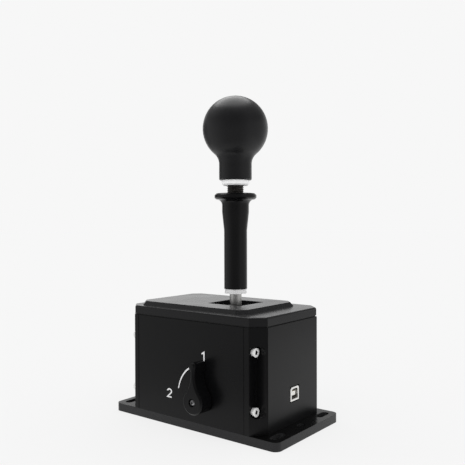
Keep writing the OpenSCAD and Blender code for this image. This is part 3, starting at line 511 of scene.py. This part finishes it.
# %% Stem
LEVER_Y = 13.0 * MM
STEM_FLANGE = 7.5 * MM
STEM_BORE = 4.02 * MM
STEM_FOOT, STEM_SEAT, BORE_END = 172.0 * MM, 176.0 * MM, 186.0 * MM
ROWS_PER_TURN = 12
SIDES = 72
plain_rows = ((BORE_END, STEM_BORE), (STEM_FOOT, STEM_BORE), (STEM_FOOT, STEM_FLANGE),
              (STEM_SEAT, STEM_FLANGE), (STEM_SEAT, STEM_CREST))
stem_rows = [(z, [radius] * SIDES) for z, radius in plain_rows]
row_count = round((STEM_TOP - THREAD_START) / THREAD_PITCH * ROWS_PER_TURN)
for row in range(row_count + 1):
    z = THREAD_START + (STEM_TOP - THREAD_START) * row / row_count
    stem_rows.append((z, [thread_radius(z, i / SIDES) for i in range(SIDES)]))
mesh = bmesh.new()
stem_rings = []
for z, radii in stem_rows:
    angles = [math.tau * i / SIDES for i in range(SIDES)]
    stem_rings.append([mesh.verts.new((r * math.cos(a), LEVER_Y + r * math.sin(a), z))
                       for r, a in zip(radii, angles)])
skin_rings(mesh, stem_rings)
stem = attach(new_object("threaded_stem", mesh, finishes["black_steel"], smooth=True), "lever")
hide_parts("lever_stem")
print(stem.name, "of", len(stem_rings), "rings")

# %% [markdown]
# ## Coil springs
# Two springs inside the housing centre the lever sideways, and a long one in the sleeve
# pushes the pull-up ring down. Each is round wire wound on a helix, with a closed turn at each
# end that is ground flat so that the spring stands square. The side springs stand on the base
# and carry the cradle, and stay in place; the long one moves with the lever.

# %% Winding a spring
WIRE_SIDES = 12
STEPS_PER_TURN = 32
CLOSED_PITCH = 2.06  # rise of a closed end turn, in wire radii


def coil(name, node, wire_radius, turns):
    """A spring of round wire in the place of a CAD spring, end turns closed and ground flat."""
    low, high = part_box(node)
    middle = (low + high) / 2
    mean_radius = (high.x - low.x) / 2 - wire_radius
    closed = CLOSED_PITCH * wire_radius
    pitch = (high.z - low.z - 2 * closed) / (turns - 2)
    mesh = bmesh.new()
    rings = []
    for i in range(round(turns * STEPS_PER_TURN) + 1):
        turn = i / STEPS_PER_TURN
        rise = closed * min(turn, 1.0) + closed * max(turn - turns + 1, 0.0)
        rise += pitch * (min(max(turn, 1.0), turns - 1) - 1.0)
        ring = []
        for k in range(WIRE_SIDES):
            round_wire = math.tau * k / WIRE_SIDES
            radius = mean_radius + wire_radius * math.cos(round_wire)
            z = low.z + rise + wire_radius * math.sin(round_wire)
            ring.append(mesh.verts.new((middle.x + radius * math.cos(math.tau * turn),
                                        middle.y + radius * math.sin(math.tau * turn),
                                        min(max(z, low.z), high.z))))
        rings.append(ring)
    skin_rings(mesh, rings)
    piece = new_object(name, mesh, finishes["bright_steel"], smooth=True)
    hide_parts(node)
    return piece


print(WIRE_SIDES * STEPS_PER_TURN, "points in a turn of wire")

# %% Springs
SIDE_WIRE, SIDE_TURNS = 0.6 * MM, 6.5
RETURN_WIRE, RETURN_TURNS = 0.55 * MM, 14
springs = []
for side in ("left", "right"):
    spring = coil(f"{side}_coil", f"{side}_spring", SIDE_WIRE, SIDE_TURNS)
    springs.append(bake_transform(spring))
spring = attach(coil("return_coil", "return_spring", RETURN_WIRE, RETURN_TURNS), "lever")
springs.append(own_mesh(spring))
print([(s.name, len(s.data.vertices)) for s in springs])

# %% [markdown]
# ## Printed marks
# The selector panel carries two plain numerals and a thin arc that shows the way the lever
# swings between them, screen printed in light grey ink. Ink stands a few hundredths of a
# millimetre proud, so each mark is a very thin solid on the panel: a stroke along a line of
# points, with mitred corners. A texture would need an image; a solid stays sharp at any
# distance.

# %% Ink and strokes
ink = layered_finish(
    "screen_printed_grey_ink",
    {"Metallic": 0.0, "IOR": 1.48},
    ("#DADADB", "#E6E6E7"), cloud_mm=4, roughness=(0.5, 0.6), grit_mm=0.6, relief_mm=0.004)
MITRE_LIMIT = 0.45  # cosine below which a corner grows no longer


def stroke_piece(name, line, widths, finish, base_x, thickness):
    """A mitred ribbon along (y, z) points in millimetres, thick along X, riding on the housing."""
    points = [Vector(p) for p in line]
    mesh = bmesh.new()
    rings = []
    for i, point in enumerate(points):
        before = (point - points[i - 1]).normalized() if i else None
        after = (points[i + 1] - point).normalized() if i + 1 < len(points) else before
        heading = ((before or after) + after).normalized()
        normal = Vector((-heading.y, heading.x))
        lean = normal.dot(Vector((-after.y, after.x)))
        reach = widths[i] / 2 / max(lean, MITRE_LIMIT)
        a, b = point + normal * reach, point - normal * reach
        rings.append([mesh.verts.new((base_x + depth, p.x * MM, p.y * MM))
                      for p, depth in ((a, 0), (b, 0), (b, thickness), (a, thickness))])
    skin_rings(mesh, rings)
    piece = new_object(name, mesh, finish)
    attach(piece, "chassis")
    return piece


print("strokes in", ink.name)

# %% Numerals and arc
PANEL_X = 45.0 * MM
INK_THICKNESS = 0.03 * MM
NUMERAL_STROKE = 1.15
ONE_AT = (16.4, 59.1)
ONE = [(-1.9, 1.75), (0.45, 3.12), (0.45, -3.7)]
TWO_AT = (-19.5, 25.3)
BOW_MIDDLE, BOW_HALF_W, BOW_HALF_H = 1.4, 2.2, 1.75
BOW_ANGLES = [math.radians(172 - 14.5 * i) for i in range(15)]
TWO = [(BOW_HALF_W * math.cos(a), BOW_MIDDLE + BOW_HALF_H * math.sin(a)) for a in BOW_ANGLES]
TWO += [(-2.2, -3.12), (2.35, -3.12)]
SELECTOR_AXIS = (16.0, 26.4)
ARC_RADIUS, ARC_STEPS = 26.0, 20
ARC_START, ARC_SWEEP = math.radians(34), math.radians(46.5)
ARC_STROKE, ARC_TAPER = 1.25, 0.35
marks = []
for name, shape, place in (("mark_one", ONE, ONE_AT), ("mark_two", TWO, TWO_AT)):
    line = [(place[0] + u, place[1] + v) for u, v in shape]
    marks.append(stroke_piece(name, line, [NUMERAL_STROKE] * len(line), ink, PANEL_X, INK_THICKNESS))
shares = [i / ARC_STEPS for i in range(ARC_STEPS + 1)]
angles = [ARC_START + ARC_SWEEP * share for share in shares]
line = [(SELECTOR_AXIS[0] - ARC_RADIUS * math.sin(a), SELECTOR_AXIS[1] + ARC_RADIUS * math.cos(a))
        for a in angles]
widths = [ARC_STROKE - ARC_TAPER * share for share in shares]
marks.append(stroke_piece("mark_arc", line, widths, ink, PANEL_X, INK_THICKNESS))
print([m.name for m in marks])

# %% [markdown]
# ## Socket contacts
# Inside the socket, four sprung contacts lie on the white tongue, two above and two below.
# They are strips of gold-plated bronze with a bent nose, drawn as strokes of sheet thickness.

# %% Contacts
CONTACT_W, CONTACT_T, CONTACT_OFFSET = 1.0, 0.16, 1.25
ROOT_INSET, BEND_INSET, NOSE_INSET, TIP_INSET = 1.0, 2.2, 1.2, 0.5
NOSE_RISE = 0.18
tongue_low, tongue_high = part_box("usb_tongue")
tongue_x = (tongue_low.x + tongue_high.x) / 2
root, tip = tongue_low.y / MM + ROOT_INSET, tongue_high.y / MM
contacts = []
for side, face in ((1, tongue_high.z), (-1, tongue_low.z)):
    lie = face / MM + side * CONTACT_T / 2
    line = [(root, lie), (tip - BEND_INSET, lie), (tip - NOSE_INSET, lie + side * NOSE_RISE),
            (tip - TIP_INSET, lie)]
    for offset in (-CONTACT_OFFSET, CONTACT_OFFSET):
        left = tongue_x + (offset - CONTACT_W / 2) * MM
        contacts.append(stroke_piece(f"socket_contact_{len(contacts) + 1}", line, [CONTACT_T] * len(line),
                                     gold_plate, left, CONTACT_W * MM))
print(len(contacts), "contacts")

# %% [markdown]
# ## Studio
# A product photograph like this one is made on a white sweep with one big softbox above. The
# black faces show little light of their own and mirror the room: the white sweep behind the
# object, and a darker room on the camera's side, at both sides and overhead. So the world and
# the floor are drawn as that room, and their brightness in a reflection changes slowly towards
# a few ways, which are fixed in the room. Both look plain white to the camera. What lights the
# object is the softbox and a mild even sky, and the floor keeps a faint shadow.

# %% Brightness of the room
BACKDROP = linear("#F7F7F7")
WHITE = (1, 1, 1, 1)
NEAR_FLOOR, FAR_FLOOR = (0.08, 0.2), (0.3, 0.7)
# A way: its heading, the cosines at which it begins and is full, the share of light it loses
# (below zero it gains), and the metres out on the floor at which it begins and is full.
ROOM_WAYS = (
    ((0.79, 0.61, 0.0), (0.2, 1.0), 0.7, NEAR_FLOOR),  # the room on the camera's side
    ((0.97, -0.23, 0.0), (-0.2, 0.6), 0.38, NEAR_FLOOR),  # front left
    ((-0.72, 0.69, 0.05), (0.55, 0.95), 0.45, FAR_FLOOR),  # far right
    ((-0.14, -0.99, 0.0), (0.9, 0.98), 0.8, FAR_FLOOR),  # far left
    ((0.0, 0.0, 1.0), (0.22, 0.45), 0.65, FAR_FLOOR),  # ceiling
    ((-0.71, -0.69, 0.14), (0.975, 0.998), -0.25, FAR_FLOOR),  # sweep behind, a little brighter
    ((0.3, -0.6, 0.74), (0.87, 0.97), -1.4, FAR_FLOOR),  # glow beside the softbox
)


def ramp(tree, value, span, start, end):
    """A soft change from the start to the end while a value runs through its span."""
    return add(tree, "ShaderNodeMapRange",
               {"Value": value, "From Min": span[0], "From Max": span[1], "To Min": start, "To Max": end},
               interpolation_type="SMOOTHSTEP").outputs["Result"]


def room_level(tree, heading, away=None):
    """Brightness of the room along a heading: 1, and in reflections more or less down each way.
    On the floor, the change grows with the distance away."""
    mirrored = add(tree, "ShaderNodeLightPath").outputs["Is Glossy Ray"]
    level = 1.0
    for way, spread, loss, reach in ROOM_WAYS:
        facing = add(tree, "ShaderNodeVectorMath", {0: heading, 1: way}, operation="DOT_PRODUCT")
        most = ramp(tree, away, reach, 0.0, loss) if away else loss
        left = add(tree, "ShaderNodeMath", {0: 1.0, 1: most}, operation="SUBTRACT").outputs[0]
        share = ramp(tree, facing.outputs["Value"], spread, 1.0, left)
        level = add(tree, "ShaderNodeMath", {0: level, 1: share}, operation="MULTIPLY").outputs[0]
    return add(tree, "ShaderNodeMix", {"Factor": mirrored, "A": 1.0, "B": level}).outputs["Result"]


print(len(ROOM_WAYS), "ways change the room's brightness")

# %% Sky
SKY_FILL = 1.2


def seen_directly(tree):
    """1 for rays from the camera, reflections and glass, 0 for light that bounces."""
    path = add(tree, "ShaderNodeLightPath")
    mirrored = add(tree, "ShaderNodeMath",
                   {0: path.outputs["Is Camera Ray"], 1: path.outputs["Is Glossy Ray"]},
                   operation="MAXIMUM")
    return add(tree, "ShaderNodeMath", {0: mirrored.outputs[0], 1: path.outputs["Is Transmission Ray"]},
               operation="MAXIMUM").outputs[0]


world = bpy.data.worlds.new("white_studio")
world.use_nodes = True
bpy.context.scene.world = world
sky = world.node_tree
sky.nodes.clear()
fill = add(sky, "ShaderNodeBackground", {"Color": WHITE, "Strength": SKY_FILL})
heading = add(sky, "ShaderNodeTexCoord").outputs["Generated"]
shown = add(sky, "ShaderNodeBackground", {"Color": BACKDROP, "Strength": room_level(sky, heading)})
both = add(sky, "ShaderNodeMixShader",
           {0: seen_directly(sky), 1: fill.outputs[0], 2: shown.outputs[0]})
add(sky, "ShaderNodeOutputWorld", {"Surface": both.outputs[0]})
print("sky with", len(sky.nodes), "nodes")

# %% Floor
PAPER = (0.85, 0.85, 0.85, 1)
FLOOR_SHARE = 0.12  # of the light on the floor that shows, and with it the shadow
FLOOR_HALF = 20
sweep = bpy.data.materials.new("white_sweep")
sweep.use_nodes = True
tree = sweep.node_tree
tree.nodes.clear()
paper = add(tree, "ShaderNodeBsdfDiffuse", {"Color": PAPER})
shade = add(tree, "ShaderNodeBsdfDiffuse", {"Color": (FLOOR_SHARE, FLOOR_SHARE, FLOOR_SHARE, 1)})
place = add(tree, "ShaderNodeNewGeometry").outputs["Position"]
outward = add(tree, "ShaderNodeVectorMath", {0: place}, operation="NORMALIZE").outputs["Vector"]
away = add(tree, "ShaderNodeVectorMath", {0: place}, operation="LENGTH").outputs["Value"]
strength = add(tree, "ShaderNodeMath",
               {0: room_level(tree, outward, away), 1: BACKDROP[0] - FLOOR_SHARE * SKY_FILL},
               operation="MULTIPLY")
glow = add(tree, "ShaderNodeEmission", {"Color": WHITE, "Strength": strength.outputs[0]})
lit = add(tree, "ShaderNodeAddShader", {0: shade.outputs[0], 1: glow.outputs[0]})
mixed = add(tree, "ShaderNodeMixShader",
            {0: seen_directly(tree), 1: paper.outputs[0], 2: lit.outputs[0]})
add(tree, "ShaderNodeOutputMaterial", {"Surface": mixed.outputs[0]})
mesh = bmesh.new()
mesh.faces.new([mesh.verts.new((u * FLOOR_HALF, v * FLOOR_HALF, 0))
                for u, v in ((-1, -1), (1, -1), (1, 1), (-1, 1))])
floor = new_object("studio_floor", mesh, sweep)
print("floor", 2 * FLOOR_HALF, "m wide")

# %% [markdown]
# ## Softbox
# The lamp is an ellipse, because the soft highlight on the ball knob has no corners. Its power
# is worked out from how bright its face should look. The floor is already as bright as it
# should be, so light linking keeps the lamp off it.

# %% Softbox
OBJECT_MIDDLE = Vector((0, 0.013, 0.12))
LAMP_PLACE = Vector((-0.164, -0.184, 0.9))
LAMP_WIDTH, LAMP_HEIGHT = 0.78, 1.05
LAMP_RADIANCE = 2.5  # at 1 it looks as bright as white paper
lamp_data = bpy.data.lights.new("overhead_softbox", "AREA")
lamp_data.shape = "ELLIPSE"
lamp_data.size, lamp_data.size_y = LAMP_WIDTH, LAMP_HEIGHT
lamp_data.energy = LAMP_RADIANCE * math.pi * (math.pi / 4 * LAMP_WIDTH * LAMP_HEIGHT)
aim = (OBJECT_MIDDLE - LAMP_PLACE).to_track_quat("-Z", "Y")
lamp = stand("overhead_softbox", lamp_data, LAMP_PLACE, aim)
unlit = bpy.data.collections.new("not_lit_by_lamps")
unlit.objects.link(floor)
for entry in unlit.collection_objects:
    entry.light_linking.link_state = "EXCLUDE"
lamp.light_linking.receiver_collection = unlit
print(lamp.name, round(lamp_data.energy, 2), "W")

# %% [markdown]
# The picture is shown as it is computed, with the Standard view.

# %% Finish
bpy.context.scene.view_settings.view_transform = "Standard"
